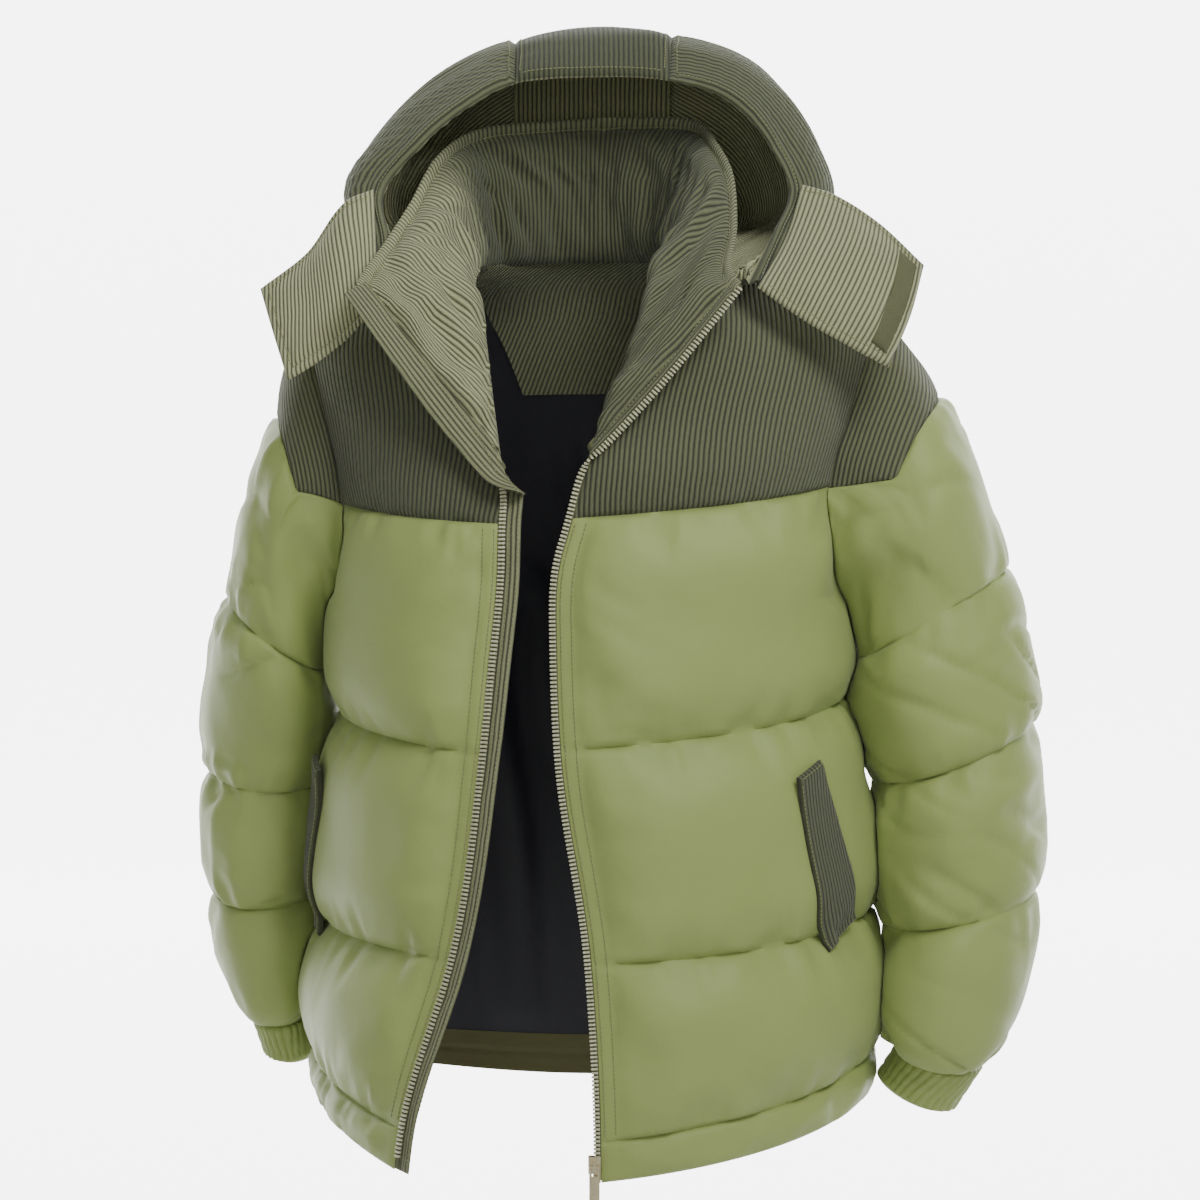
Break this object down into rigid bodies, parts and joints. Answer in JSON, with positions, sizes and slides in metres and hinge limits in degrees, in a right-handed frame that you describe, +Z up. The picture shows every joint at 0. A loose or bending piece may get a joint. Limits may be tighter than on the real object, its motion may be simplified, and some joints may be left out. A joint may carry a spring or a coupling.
{
  "type": "hooded quilted jacket",
  "caption": "Hooded quilted jacket worn open: padded body and sleeves, ribbed yoke, stand collar, hood with chin flaps, slanted pocket welts, front zip with a swinging pull tab.",
  "frame": {"origin": "middle of the neck opening between the shoulders, where the wearer holds the jacket up", "axes": "+Z up, -Y out of the front, +X towards the wearer's left"},
  "size_m": [0.6675, 0.461, 0.8865],
  "materials": {
    "shell": "smooth quilted polyester",
    "corduroy": "ribbed corduroy",
    "lining": "dark smooth lining",
    "tape": "zip tape with its teeth",
    "metal": "pale antique",
    "hooks": "hook tape"
  },
  "bodies": {
    "jacket": {"back_body": "shell", "back_hem": "shell", "back_yoke": "corduroy", "collar": "corduroy", "cuff_left": "shell", "cuff_right": "shell", "flap_left": "corduroy", "flap_right": "corduroy", "front_left_body": "shell", "front_left_hem": "shell", "front_left_yoke": "corduroy", "front_right_body": "shell", "front_right_hem": "shell", "front_right_yoke": "corduroy", "hem_facing_back": "shell", "hem_facing_left": "shell", "hem_facing_right": "shell", "hood_left": "corduroy", "hood_middle": "corduroy", "hood_right": "corduroy", "hook_patch": "hooks", "lining_back": "lining", "lining_left": "lining", "lining_right": "lining", "neck_facing": "corduroy", "pocket_welt_left": "corduroy", "pocket_welt_right": "corduroy", "sleeve_left_1": "shell", "sleeve_left_2": "shell", "sleeve_left_3": "shell", "sleeve_left_4": "shell", "sleeve_left_cap": "corduroy", "sleeve_right_1": "shell", "sleeve_right_2": "shell", "sleeve_right_3": "shell", "sleeve_right_4": "shell", "sleeve_right_cap": "corduroy", "slider": "metal", "zip_box": "metal", "zip_chain_left": "tape", "zip_chain_right": "tape", "zip_guard": "corduroy"},
    "pull_tab": {"pull_tab": "metal"}
  },
  "joints": [
    {"name": "pull_tab_swing", "type": "hinge", "parent": "jacket", "child": "pull_tab", "pos_m": [0.0038, -0.1952, -0.6682], "axis": [-1, 0, 0], "range_deg": [0, 150]}
  ]
}
